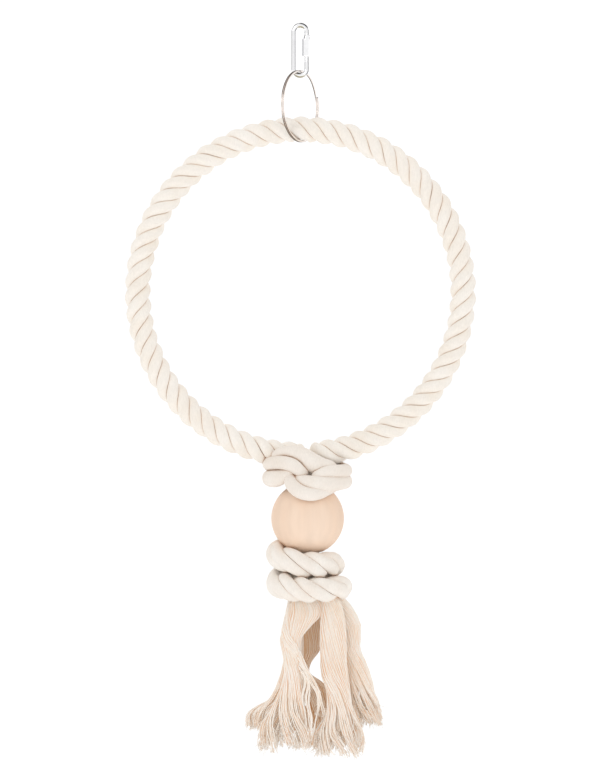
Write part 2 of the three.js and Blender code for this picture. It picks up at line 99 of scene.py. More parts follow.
class Nodes:
    """A short way to write a material's node tree."""

    def __init__(self, name, **sockets):
        self.material = bpy.data.materials.new(name)
        self.material.use_nodes = True
        self.tree = self.material.node_tree
        self.shader = self.tree.nodes["Principled BSDF"]
        for key, value in sockets.items():
            self.shader.inputs[key.replace("_", " ")].default_value = value

    def add(self, kind, links=(), **values):
        node = self.tree.nodes.new(kind)
        for key, value in values.items():
            if hasattr(node, key):
                setattr(node, key, value)
            else:
                node.inputs[key.replace("_", " ")].default_value = value
        for socket, source in dict(links).items():
            self.tree.links.new(source, node.inputs[socket])
        return node

    def ramp(self, source, stops):
        node = self.add("ShaderNodeValToRGB", {"Fac": source})
        elements = node.color_ramp.elements
        while len(elements) < len(stops):
            elements.new(0.5)
        for element, (place, colour) in zip(elements, stops):
            element.position = place
            element.color = colour
        return node.outputs["Color"]

    def mix(self, factor, a, b, blend="MIX"):
        node = self.add("ShaderNodeMix", data_type="RGBA", blend_type=blend)
        for index, value in ((0, factor), (6, a), (7, b)):
            if isinstance(value, (int, float, tuple)):
                node.inputs[index].default_value = value
            else:
                self.tree.links.new(value, node.inputs[index])
        return node.outputs[2]

    def noise(self, scale, detail=3.0, stretch=None):
        coordinates = self.add("ShaderNodeTexCoord").outputs["Object"]
        if stretch:
            mapping = self.add("ShaderNodeMapping", {"Vector": coordinates})
            mapping.inputs["Scale"].default_value = stretch
            coordinates = mapping.outputs["Vector"]
        node = self.add("ShaderNodeTexNoise", {"Vector": coordinates}, Scale=scale, Detail=detail)
        return node.outputs["Fac"]

    def bump(self, height, strength, distance):
        node = self.add("ShaderNodeBump", {"Height": height}, Strength=strength, Distance=distance)
        self.tree.links.new(node.outputs["Normal"], self.shader.inputs["Normal"])

    def colour(self, source):
        self.tree.links.new(source, self.shader.inputs["Base Color"])

    def glow(self, source, strength):
        self.tree.links.new(source, self.shader.inputs["Emission Color"])
        self.shader.inputs["Emission Strength"].default_value = strength

    def facing(self, direction, start, full):
        """0 to 1 as the surface turns towards a direction, between two cosines."""
        normal = self.add("ShaderNodeNewGeometry").outputs["Normal"]
        dot = self.add("ShaderNodeVectorMath", operation="DOT_PRODUCT")
        self.tree.links.new(normal, dot.inputs[0])
        dot.inputs[1].default_value = Vector(direction).normalized()
        return self.ramp(dot.outputs["Value"], [(start, grey(0)), (full, grey(1))])


CREAM = linear(253, 247, 239)
CREAM_WARM = linear(249, 240, 228)
# Painted shade: the warm brown that cotton's colour is multiplied by where folds and grooves close
PAINTED_FOLD_SHADE = linear(210, 176, 144)


def cotton(name, painted_shade_reach=0.004, painted_shade_open=0.7, tones=(CREAM, CREAM_WARM), painted_gap_glow=None):
    """Undyed cotton: cream in two tones, with fibres, and painted shade: warm brown where folds and
    grooves close, as ambient occlusion finds them. painted_shade_reach is how far off a fold's other
    side the painted shade reaches, painted_shade_open the open share of the sky from which it no longer
    does, and
    painted_gap_glow a painted glow: emission in the folds and gaps that stands in for the light that
    loose yarns pass on."""
    nodes = Nodes(name, Roughness=0.92, Specular_IOR_Level=0.15, Sheen_Weight=0.25, Sheen_Roughness=0.5)
    patches = nodes.ramp(nodes.noise(60, 2), [(0.3, tones[0]), (0.75, tones[1])])
    fibres = nodes.ramp(nodes.noise(1400, 4, (1, 1, 0.25)), [(0.3, grey(0.93)), (0.7, grey(1.0))])
    base = nodes.mix(1.0, patches, fibres, "MULTIPLY")
    # Painted shade: ambient occlusion browns the colour where folds and grooves close
    occlusion = nodes.add("ShaderNodeAmbientOcclusion", Distance=painted_shade_reach, samples=6)
    open_share = nodes.ramp(occlusion.outputs["AO"], [(0.1, grey(0)), (painted_shade_open, grey(1))])
    fold_shaded = nodes.mix(1.0, PAINTED_FOLD_SHADE, base, "MULTIPLY")
    nodes.colour(nodes.mix(open_share, fold_shaded, base))
    # Painted light: the folds and gaps give off a warm glow
    if painted_gap_glow:
        nodes.glow(nodes.mix(open_share, painted_gap_glow, grey(0)), 1.0)
    nodes.bump(nodes.noise(2200, 4, (1, 1, 0.3)), 0.35, 0.0003)
    return nodes.material


def wood():
    """Pale bare wood, its grain along the bore."""
    nodes = Nodes("ball_wood", Roughness=0.55, Specular_IOR_Level=0.35)
    grain = nodes.noise(120, 5, (1, 1, 0.09))
    rings = nodes.noise(34, 3, (1, 1, 0.22))
    tone = nodes.ramp(rings, [(0.3, linear(246, 222, 201)), (0.7, linear(239, 208, 182))])
    lines = nodes.ramp(grain, [(0.35, grey(0.94)), (0.6, grey(1.0))])
    nodes.colour(nodes.mix(1.0, tone, lines, "MULTIPLY"))
    nodes.bump(grain, 0.15, 0.0003)
    return nodes.material


def metal(name, colour, roughness, painted_reflections, lift=0.0):
    """Polished metal with painted reflections. Each of painted_reflections darkens the colour of faces
    turned towards a direction, standing in for the studio's dark parts seen in them: direction, cosines
    where it starts and is full, colour. lift is a painted glow: the share of the colour given off as
    light."""
    nodes = Nodes(name, Metallic=1.0)
    worn = [c * 0.97 for c in colour]
    base = nodes.ramp(nodes.noise(300, 3), [(0.3, linear(*colour)), (0.8, linear(*worn))])
    # Painted reflections: faces turned towards each direction take its colour
    for direction, start, full, reflection_tone in painted_reflections:
        base = nodes.mix(nodes.facing(direction, start, full), base, linear(*reflection_tone))
    nodes.colour(base)
    # Painted glow: the metal gives off a share of its colour as light
    nodes.glow(base, lift)
    rough = nodes.ramp(nodes.noise(900, 3), [(0.3, grey(roughness)), (0.8, grey(roughness + 0.06))])
    nodes.tree.links.new(rough, nodes.shader.inputs["Roughness"])
    return nodes.material


# Every cotton has painted shade, warm brown where its folds and grooves close
COTTON = cotton("rope_cotton", painted_shade_reach=0.002)
KNOT_COTTON = cotton("knot_cotton", 0.0035, 0.6, (linear(245, 237, 228), linear(239, 228, 216)))
WIND_COTTON = cotton("wind_cotton", 0.0035, 0.6, (linear(251, 245, 237), linear(246, 236, 225)))
# The tails' cotton: painted shade in its folds, and a warm painted glow there
TAIL_COTTON = cotton("tail_cotton", 0.002, 0.5, (linear(254, 247, 239), linear(252, 242, 229)),
                     (0.34, 0.255, 0.17, 1))
# The back tails' shaded copy of the cotton: its painted shade reaches further and deeper, with a painted
# glow in the folds
BACK_TAIL_SHADED_COTTON = cotton("back_tail_shaded_cotton", 0.012, 0.9, painted_gap_glow=(0.16, 0.1, 0.045, 1))
WOOD = wood()
# The link's painted reflections: darker on faces turned towards the studio's dark parts and the floor,
# and a painted glow
CHROME = metal("link_chrome", (251, 251, 252), 0.1, [
    ((0.58, -0.81, 0), 0.965, 0.985, (168, 168, 170)), ((-0.84, -0.54, 0), 0.95, 0.98, (190, 190, 191)),
    ((0.61, -0.7, -0.35), 0.94, 0.98, (118, 118, 120)), ((0.38, -0.6, 0.7), 0.82, 0.9, (74, 74, 77)),
    ((-0.1, -0.62, -0.78), 0.74, 0.92, (172, 165, 144)),
], 0.06)
# The nut's painted reflections on its side faces, and a painted glow
NUT_CHROME = metal("nut_chrome", (253, 253, 254), 0.12, [
    ((-0.87, -0.5, 0), 0.985, 0.995, (196, 196, 198)),
    ((0.72, -0.24, 0.65), 0.93, 0.97, (118, 118, 121)),
    ((-0.72, -0.24, 0.65), 0.93, 0.97, (132, 132, 135)),
], 0.12)
# The split ring's painted reflections: dark on faces turned up and down, and a painted glow
NICKEL = metal("ring_nickel", (243, 235, 229), 0.14, [
    ((0, 0, 1), 0.12, 0.32, (92, 76, 70)), ((0, 0, -1), 0.16, 0.4, (104, 88, 74)),
], 0.05)


# Meshes from rings of points

def in_scene(name, data):
    item = bpy.data.objects.new(name, data)
    bpy.context.scene.collection.objects.link(item)
    return item


def smooth(mesh):
    for polygon in mesh.polygons:
        polygon.use_smooth = True


def make_object(name, vertices, faces, material, body, replaced=()):
    """A piece of the part from points in millimetres, riding on a body if one is given."""
    mesh = bpy.data.meshes.new(name)
    mesh.from_pydata((np.asarray(vertices) * MM).tolist(), [], faces)
    mesh.validate()
    smooth(mesh)
    mesh.materials.append(material)
    piece = in_scene(name, mesh)
    if body:
        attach(piece, body)
    if replaced:
        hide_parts(*replaced)
    return piece


def tube_faces(rows, sides, start=0):
    """Faces of a tube of rows rings, each of sides points, closed at both ends."""
    faces = []
    for i in range(rows - 1):
        for j in range(sides):
            a = start + i * sides + j
            b = start + i * sides + (j + 1) % sides
            faces.append((a, b, b + sides, a + sides))
    faces.append(tuple(start + j for j in reversed(range(sides))))
    faces.append(tuple(start + (rows - 1) * sides + j for j in range(sides)))
    return faces


def loop_faces(rows, sides, flip=False):
    """Faces of a closed loop of rows rings, as a bored solid has."""
    faces = []
    for i in range(rows):
        for j in range(sides):
            a, b = i * sides + j, i * sides + (j + 1) % sides
            c, d = ((i + 1) % rows) * sides + (j + 1) % sides, ((i + 1) % rows) * sides + j
            faces.append((a, d, c, b) if flip else (a, b, c, d))
    return faces


def hermite(x, y, at):
    """The smooth curve through the rows y at the places x, for each place in at."""
    slopes = np.gradient(y, x, axis=0)
    k = np.clip(np.searchsorted(x, at, side="right") - 1, 0, len(x) - 2)
    h = (x[k + 1] - x[k])[:, None]
    t = (at - x[k])[:, None] / h
    return ((2 * t**3 - 3 * t**2 + 1) * y[k] + (t**3 - 2 * t**2 + t) * h * slopes[k]
            + (-2 * t**3 + 3 * t**2) * y[k + 1] + (t**3 - t**2) * h * slopes[k + 1])


def spline(points, count):
    """count points along a smooth curve through rows of numbers, even along its first three columns."""
    points = np.asarray(points, float)
    steps = np.linalg.norm(np.diff(points[:, :3], axis=0), axis=1)
    knots = np.concatenate([[0], np.cumsum(np.sqrt(steps))])
    curve = hermite(knots, points, np.linspace(0, knots[-1], count * 6))
    length = length_along(curve[:, :3])
    even = np.linspace(0, length[-1], count)
    return np.stack([np.interp(even, length, curve[:, c]) for c in range(curve.shape[1])], axis=1)


def travelling_frames(path):
    """Two unit directions across the path at each point, carried along it without twist."""
    tangents = np.gradient(path, axis=0)
    tangents /= np.linalg.norm(tangents, axis=1)[:, None]
    side = np.cross(tangents[0], [0.3, 0.2, 1.0])
    side /= np.linalg.norm(side)
    sides = [side]
    for t in tangents[1:]:
        side = sides[-1] - t * np.dot(sides[-1], t)
        sides.append(side / np.linalg.norm(side))
    sides = np.array(sides)
    return sides, np.cross(tangents, sides)


def length_along(path):
    return np.concatenate([[0], np.cumsum(np.linalg.norm(np.diff(path, axis=0), axis=1))])


def smoothstep(x, low, high):
    t = np.clip((x - low) / (high - low), 0, 1)
    return t * t * (3 - 2 * t)


def angles_round(sides):
    return np.linspace(0, FULL_TURN, sides, endpoint=False)


def sweep(path, first, second, along_first, along_second):
    """Rings of points about a path: how far each goes along two directions that cross the path."""
    return (path[:, None, :] + first[:, None, :] * along_first[:, :, None]
            + second[:, None, :] * along_second[:, :, None])


def tube_rings(path, radius, sides):
    """Rings of a round tube; the radius is one number or one for each point of the path."""
    first, second = travelling_frames(path)
    angle = angles_round(sides)
    radius = np.broadcast_to(np.asarray(radius, float).reshape(-1, 1), (len(path), 1))
    return sweep(path, first, second, radius * np.cos(angle), radius * np.sin(angle))


def upright_rings(line, half_x, half_y, angle):
    """Level rings about the points of a line, whose half widths may differ from point to point."""
    x = line[:, 0][:, None] + half_x * np.cos(angle)
    y = line[:, 1][:, None] + half_y * np.sin(angle)
    z = np.repeat(line[:, 2][:, None], len(angle), axis=1)
    return np.stack([x, y, z], axis=2)


# Laid rope: each strand's outer face is an arc of radius STRAND_ROUND about a point STRAND_OUT from
# the rope's axis, and its sides meet its neighbours on flat planes

STRAND_OUT = 3.8
STRAND_ROUND = 5.4
STRAND_EDGE = math.radians(59.3)
STRAND_CORE_R = 2.2
SKIN_POINTS, SIDE_POINTS = 27, 4
YARN_LINES = 34
YARN_RIB = 0.1
STRAND_WANDER = 0.008
ROWS_PER_WANDER = 9
ROWS_PER_LAY = 30
STRAND_DOME = 7


def strand_profile():
    """Angle and radius of the points round one strand, from the rope's axis, and which are its skin."""
    outer = np.linspace(-STRAND_EDGE, STRAND_EDGE, SKIN_POINTS)
    reach = STRAND_OUT * np.cos(outer) + np.sqrt(STRAND_ROUND**2 - (STRAND_OUT * np.sin(outer)) ** 2)
    inward = np.linspace(reach[-1], STRAND_CORE_R, SIDE_POINTS + 1)[1:]
    angles = np.concatenate([outer, [STRAND_EDGE] * SIDE_POINTS, [-STRAND_EDGE] * SIDE_POINTS])
    radii = np.concatenate([reach, inward, inward[::-1]])
    skin = np.concatenate([np.ones(SKIN_POINTS), np.zeros(2 * SIDE_POINTS)])
    return angles, radii, skin


def dome(distance, size):
    """The share of its width that a strand has near its end, which is rounded over size."""
    u = np.clip(1 - distance / size, 0, 1)
    return np.maximum(0.12, np.sqrt(1 - u * u))


def laid_strand(centres, out, across, phase, end_scale, limit=None, seed=0):
    """Rings of one strand. out and across are directions from the rope's axis, phase is the strand's
    angle at each of its points, and limit is how far the rope may reach at an angle."""
    angles, radii, skin = strand_profile()
    rng = np.random.default_rng(seed)
    rows = len(phase)
    places = rows // ROWS_PER_WANDER + 2
    sway = rng.normal(0, STRAND_WANDER, places)
    wander = np.interp(np.arange(rows), np.linspace(0, rows, places), sway)
    a = phase[:, None] + angles[None, :] + (wander * 2.0)[:, None]
    rib = YARN_RIB * np.cos(YARN_LINES * a) * skin[None, :]
    r = radii[None, :] * (1 + wander[:, None]) + rib
    if limit is not None:
        r = np.minimum(r, limit(a))
    r = r * end_scale[:, None]
    return sweep(centres, out, across, r * np.cos(a), r * np.sin(a))


def rings_object(name, rings, material, body, replaced=()):
    """A piece that is one closed tube."""
    rows, sides = rings.shape[:2]
    make_object(name, rings.reshape(-1, 3), tube_faces(rows, sides), material, body, replaced)


# The groove that the split ring presses into the rope: its floor's distance from the rope's axis, its
# half width, the width of its slopes, and the share of the ring's own slant that it follows
SEAT_LOW = 7.55
SEAT_HALF = 3.4
SEAT_FADE = 4.5
SEAT_SLANT = 0.5
SEAT_FREE_R = ROPE_R + 0.2
SPLIT_RING_TURN = math.radians(60)


def ring_rope():
    """The three strands of the ring, from one end at the knot round to the other."""
    end_angle = math.degrees((BALL_X - RING_X) / RING_R)
    half_gap = math.degrees(ROPE_END_GAP / 2 / RING_R)
    start, stop = -90 + end_angle + half_gap, 270 + end_angle - half_gap
    length = RING_R * math.radians(stop - start)
    deg = np.linspace(start, stop, int(length / LAY * ROWS_PER_LAY))
    turn = np.radians(deg)
    out = np.stack([np.cos(turn), np.zeros_like(turn), np.sin(turn)], axis=1)
    centres = np.array([RING_X, 0, RING_Z]) + out * RING_R
    across = np.tile([0.0, 1.0, 0.0], (len(deg), 1))
    arc = RING_R * np.radians(deg - 90)
    from_end = RING_R * np.radians(np.minimum(deg - start, stop - deg))

    def seat(a):
        """How far the rope reaches where the split ring presses a slanting groove round its underside,
        in which it stays as the rope swings."""
        beside = -arc[:, None] - SEAT_SLANT * ROPE_R * np.sin(a) / math.tan(SPLIT_RING_TURN)
        pressed = 1 - smoothstep(np.abs(beside), SEAT_HALF, SEAT_HALF + SEAT_FADE)
        under = smoothstep(-np.cos(a), -0.3, 0.15)
        return SEAT_FREE_R - (SEAT_FREE_R - SEAT_LOW) * pressed * under

    for k in range(3):
        phase = math.radians(120 + 120 * k) + FULL_TURN * arc / LAY
        rings = laid_strand(centres, out, across, phase, dome(from_end, STRAND_DOME), seat, seed=k)
        rings_object(f"rope_strand_{k + 1}", rings, COTTON, "rope_ring",
                     [f"ring_strand_{k + 1}"])


# Upper knot: routes as [x, y, z, radius] from the knot's centre

KNOT_ROUTES = [
    [[-25, -8.6, 12.6, 3], [-21, -11, 15.4, 3.5], [-16, -13, 16.9, 4], [-10.4, -15, 16.6, 4.7],
     [-3, -15.6, 14, 6], [4, -15, 8.6, 7.2], [10, -13.4, 6.4, 6.4], [15.8, -11.6, 4.8, 5.5],
     [19, -8, 0.6, 4.4]],
    [[5, 15, 9, 4], [-6, 20, 8.5, 4.8], [-19, 17, 8, 5], [-27, 5, 7.8, 4.9], [-25.6, -7, 8.6, 4.9],
     [-18, -16, 9.2, 5], [-10.6, -19.4, 7.4, 5], [-5.6, -19.2, 3.6, 4.6], [-1.6, -14.6, 0.2, 4.2]],
    [[7, 16, 2, 4], [-4, 21.5, 0.5, 5], [-17, 19, -1, 5.4], [-25.8, 8, -1.9, 6], [-25.4, -5, -2.2, 6.2],
     [-21.4, -12.6, -1.8, 6], [-16, -16.4, 0.2, 4.7], [-10.4, -16, 2.2, 3.7], [-6, -11.4, 1.4, 3.3]],
    [[-9, 11, 10, 4], [4, 12, 8, 4.6], [18, 11, 6, 4.8], [26.6, 2, 3.7, 4.8], [24.8, -10, 2.9, 4.9],
     [18.8, -17.4, 2.9, 4.9], [12.8, -20.2, 2.2, 4.5], [7.4, -20.6, 0.5, 3.8], [3.4, -17.6, -0.8, 3]],
    [[-8, 13, 3, 4], [5, 14.4, 1, 4.6], [18, 12.6, -1.6, 4.9], [26.2, 3, -4, 5.1],
     [24.2, -10, -4.6, 5.3], [17, -19, -5.4, 5.6], [8.4, -23, -5.4, 5.5], [1, -23.2, -4.4, 5],
     [-4.6, -20.8, -2.8, 3.9], [-7.6, -15.6, -0.6, 3.1]],
    [[-10, 15, -4, 4], [3, 17.4, -6, 4.6], [12, 15.4, -7, 4.5], [17.6, 5, -7.6, 4.2],
     [16.6, -8, -8.6, 4.2], [13, -17.6, -10, 4.3], [8.4, -22.8, -11.6, 4.7], [3.2, -25, -12.6, 4.9],
     [-2.8, -25.4, -11.8, 5], [-8, -24, -9.2, 5], [-11.6, -21, -5.2, 4.7], [-12.2, -16.4, -1.2, 4.2],
     [-9.8, -11, 1, 3.6]],
]


def upper_knot():
    """Round strands with their yarns twisted round them and softly domed ends."""
    rows, sides, swells = 110, 40, 9
    ribs, rib_depth, rib_lay, end_dome = 13, 0.09, 3.4, 4
    for k, route in enumerate(KNOT_ROUTES):
        line = spline(route, rows)
        path = line[:, :3] + [BALL_X, 0, KNOT_Z]
        first, second = travelling_frames(path)
        s = length_along(path)
        angle = angles_round(sides)
        rng = np.random.default_rng(40 + k)
        swell = np.interp(s, np.linspace(0, s[-1], swells), rng.normal(1, 0.015, swells))
        rib = rib_depth * np.cos(ribs * angle[None, :] + FULL_TURN * s[:, None] / rib_lay)
        radius = (line[:, 3] * swell)[:, None] + rib
        radius = radius * dome(np.minimum(s, s[-1] - s), end_dome)[:, None]
        rings = sweep(path, first, second, radius * np.cos(angle), radius * np.sin(angle))
        rings_object(f"upper_knot_{k + 1}", rings, KNOT_COTTON, "rope_ring",
                     [f"upper_knot_strand_{k + 1}"])


# Lower knot: a rope wound twice round the bundle, its coil wider at the foot than at the top. Each
# station: angle turned, drop of the rope's axis, half height; the lay: angle turned, turns laid

COIL_TOP_R, COIL_FOOT_R = 18.7, 21.8
COIL_TOP_SHIFT, COIL_FOOT_SHIFT = -1.8, 1
WIND_ROWS = 260
WIND_STATIONS = [
    (112, -2.6, 8.3), (180, 0.6, 9.3), (270, 7.2, 9.5), (360, 8, 8.8), (450, 13.8, 8.6),
    (540, 20.9, 10.1), (630, 24.9, 9.1), (720, 24.6, 8.8), (785, 28.8, 8.4),
]
WIND_LAY = [
    (112, -1.2), (200, -1 / 3), (256.7, 0), (296, 1 / 3), (336, 2 / 3), (380, 1.1), (470, 2.4),
    (545, 10 / 3), (591.6, 11 / 3), (621.5, 4), (655, 13 / 3), (716, 4.72), (785, 5.4),
]
WIND_START, WIND_END = WIND_STATIONS[0][0], WIND_STATIONS[-1][0]


def through(stations, column, at):
    """The stations' smooth curve in one column."""
    rows = np.array(stations, float)
    return hermite(rows[:, 0], rows[:, [column]], at)[:, 0]


def wind_place(deg):
    """Directions out from the coil's axis, and the rope's centre, at angles turned."""
    share = smoothstep((deg - 180) / (WIND_END - 180), 0.2, 0.7)
    radius = COIL_TOP_R + (COIL_FOOT_R - COIL_TOP_R) * share
    shift = COIL_TOP_SHIFT + (COIL_FOOT_SHIFT - COIL_TOP_SHIFT) * share
    turn = np.radians(deg)
    out = np.stack([np.cos(turn), np.sin(turn), np.zeros_like(turn)], axis=1)
    z = WIND_TOP_Z - through(WIND_STATIONS, 1, deg)
    centres = np.stack([BALL_X + shift + radius * out[:, 0], radius * out[:, 1], z], axis=1)
    return out, centres


def lower_knot():
    """The three strands of the coiled rope, each turning the way that its lay's stations say."""
    deg = np.linspace(WIND_START, WIND_END, WIND_ROWS)
    out, centres = wind_place(deg)
    down = np.stack([0 * deg, 0 * deg, -through(WIND_STATIONS, 2, deg) / ROPE_R], axis=1)
    from_end = COIL_TOP_R * np.radians(np.minimum(deg - WIND_START, WIND_END - deg))
    for k in range(3):
        phase = math.radians(60 + 120 * k) + FULL_TURN * through(WIND_LAY, 1, deg)
        rings = laid_strand(centres, out, down, phase, dome(from_end, STRAND_DOME), seed=10 + k)
        rings_object(f"lower_knot_{k + 1}", rings, WIND_COTTON, "rope_ring",
                     [f"lower_knot_strand_{k + 1}"])


def bundle():
    """The strands that run through the ball and the turns of the lower knot, six lobes in a twist."""
    rows, sides, groove, twist_length = 60, 96, 0.16, 60
    bore_half = math.sqrt(BALL_R**2 - BORE_R**2)
    levels = [(KNOT_Z - 4, 7.1), (BALL_Z + bore_half, 8.4), (BALL_Z - bore_half + 1, 8.4),
              (WIND_TOP_Z - 2, 8.6), ((WIND_TOP_Z + WIND_BOTTOM_Z) / 2, 9.2), (WIND_BOTTOM_Z + 6, 11.3),
              (WIND_BOTTOM_Z, 11.3)]
    line = spline([[BALL_X, 0, z, r] for z, r in levels], rows)
    angle = angles_round(sides)
    twist = (line[:, 2] - line[0, 2])[:, None] / twist_length
    lobes = 1 - groove * np.abs(np.cos(3 * (angle[None, :] + twist))) ** 6
    radius = line[:, 3][:, None] * lobes
    rings = upright_rings(line, radius, radius, angle)
    rings_object("strand_bundle", rings, WIND_COTTON, "rope_ring",
                 [f"bundle_strand_{k}" for k in range(1, 7)])


# Ball

def ball():
    """A ball turned about its bore, whose mouths are rounded over."""
    sides, levels, lip = 128, 64, 0.05
    edge = math.asin(BORE_R / BALL_R) + lip
    turns = np.linspace(edge, math.pi - edge, levels)
    profile = [(BALL_R * math.sin(a), -BALL_R * math.cos(a)) for a in turns]
    bore_half = math.sqrt(BALL_R**2 - BORE_R**2)
    mouth = [(BORE_R + 1 - share, bore_half - 0.5 - share) for share in (0.35, 0.75, 1.0)]
    profile += mouth + [(r, -z) for r, z in reversed(mouth)]
    vertices = []
    for j in range(sides):
        a = FULL_TURN * j / sides
        vertices += [(BALL_X + r * math.cos(a), r * math.sin(a), BALL_Z + z) for r, z in profile]
    faces = loop_faces(sides, len(profile), flip=True)
    make_object("ball", vertices, faces, WOOD, "ball", ["wooden_ball"])


# Hardware: the link's heights are below the frame's origin, the inner top of its upper bend

LINK_WIRE_R = 1.75
LINK_BEND_R = 4.65
LINK_TOP_BEND_Z = -2.9
LINK_LOW_BEND_Z = -29.4
NUT_TOP_Z, NUT_LOW_Z = -5.4, -20.8
MOUTH_TOP_Z, MOUTH_LOW_Z = -7.0, -12.2
THREAD_TOP_Z, THREAD_LOW_Z = -4.4, -24.5
THREAD_PITCH, THREAD_DEPTH, THREAD_CUT = 0.75, 0.12, 0.1


def quick_link():
    """Round wire bent to an oval, open at the mouth that the nut bridges, with threaded arm ends."""
    sides, step, bend_points = 28, 0.25, 37
    points, normals = [], []

    def push(x, z, nx, nz):
        points.append((x, 0, z))
        normals.append((nx, 0, nz))

    def arm(z_from, z_to, x):
        for z in np.linspace(z_from, z_to, max(2, int(abs(z_to - z_from) / step))):
            push(x, z, math.copysign(1, x), 0)

    def bend(centre_z, start):
        for a in np.linspace(start, start + math.pi, bend_points):
            x, z = math.cos(a), math.sin(a)
            push(LINK_BEND_R * x, centre_z + LINK_BEND_R * z, x, z)

    arm(MOUTH_TOP_Z, LINK_TOP_BEND_Z - 0.1, LINK_BEND_R)
    bend(LINK_TOP_BEND_Z, 0)
    arm(LINK_TOP_BEND_Z - 0.5, LINK_LOW_BEND_Z + 0.5, -LINK_BEND_R)
    bend(LINK_LOW_BEND_Z, math.pi)
    arm(LINK_LOW_BEND_Z + 0.1, MOUTH_LOW_Z, LINK_BEND_R)
    points, normals = np.array(points), np.array(normals)
    side = np.tile([0.0, 1.0, 0.0], (len(points), 1))
    angle = angles_round(sides)
    z = points[:, 2]
    threaded = (points[:, 0] > LINK_BEND_R - 0.05) & (z < THREAD_TOP_Z) & (z > THREAD_LOW_Z)
    ridges = THREAD_DEPTH * np.cos(FULL_TURN * z[:, None] / THREAD_PITCH + angle[None, :]) - THREAD_CUT
    radius = LINK_WIRE_R + np.where(threaded, 1.0, 0.0)[:, None] * ridges
    rings = sweep(points, normals, side, radius * np.cos(angle), radius * np.sin(angle))
    rings_object("link_wire", rings, CHROME, "quick_link", ["quick_link"])


def link_nut():
    """A long hexagon nut, its ends turned to a cone, bored for the threaded arms. Stations are how far
    from an end, and how much the cone takes off the corners there."""
    flat, bore_r, sides, corner_round, sharpest = 3.25, 2.1, 96, 0.18, math.radians(28)
    corner = flat / math.cos(math.pi / 6)
    length = NUT_TOP_Z - NUT_LOW_Z
    foot = [(0, 0.62), (0.35, 0.3), (1.0, 0.05), (1.6, 0.0)]
    neck = [(3.3, 0.0), (3.1, 0.12), (2.6, 0.4), (0.5, 1.2), (0.2, 1.3), (0, 1.45)]
    stations = [(NUT_LOW_Z + d, cut) for d, cut in foot]
    stations += [(NUT_LOW_Z + length * share, 0.0) for share in (0.3, 0.5, 0.7)]
    stations += [(NUT_TOP_Z - d, cut) for d, cut in neck]
    angle = angles_round(sides)
    hexagon = flat / np.cos((angle % (math.pi / 3)) - math.pi / 6)
    rounded = np.minimum(hexagon, corner - corner_round)
    levels = [(z, np.minimum(rounded, corner - cut)) for z, cut in stations]
    levels += [(z, np.full(sides, bore_r)) for z in (NUT_TOP_Z - 0.3, NUT_LOW_Z + 0.3)]
    line = np.array([[LINK_BEND_R, 0, z] for z, _ in levels])
    radius = np.array([r for _, r in levels])
    rings = upright_rings(line, radius, radius, angle)
    faces = loop_faces(len(rings), sides)
    piece = make_object("nut", rings.reshape(-1, 3), faces, NUT_CHROME, "nut",
                        ["quick_link_nut"])
    edges = piece.modifiers.new("edges", "EDGE_SPLIT")
    edges.split_angle = sharpest


def split_ring():
    """Two turns of flat spring wire with rounded edges. The wire steps from one turn to the other over
    step degrees, and its ends lie at the sides of that step."""
    sides, rows, corner_power = 20, 420, 0.45
    wide, thick, gap, step, step_centre, end_gap = 1.5, 0.75, 0.42, 54, 48, 2
    low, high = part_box("split_ring")
    u = np.array([math.cos(SPLIT_RING_TURN), math.sin(SPLIT_RING_TURN), 0])
    n = np.array([math.sin(SPLIT_RING_TURN), -math.cos(SPLIT_RING_TURN), 0])
    up = np.array([0, 0, 1.0])
    radius = (high.z - low.z) / 2 / MM
    centre = np.array([0, 0, (high.z + low.z) / 2 / MM])
    t = np.linspace(step / 2 + end_gap, 720 - step / 2 - end_gap, rows)
    side = (smoothstep(t, 360 - step / 2, 360 + step / 2) - 0.5) * (thick + gap)
    a = np.radians(t + step_centre)
    radial = u * np.cos(a)[:, None] + up * np.sin(a)[:, None]
    around = angles_round(sides)
    section_x = np.sign(np.cos(around)) * np.abs(np.cos(around)) ** corner_power * wide / 2
    section_y = np.sign(np.sin(around)) * np.abs(np.sin(around)) ** corner_power * thick / 2
    middle = centre + radial * (radius - wide / 2) + n * side[:, None]
    rings = sweep(middle, radial, np.tile(n, (rows, 1)), section_x[None, :], section_y[None, :])
    rings_object("ring_wire", rings, NICKEL, "split_ring", ["split_ring"])
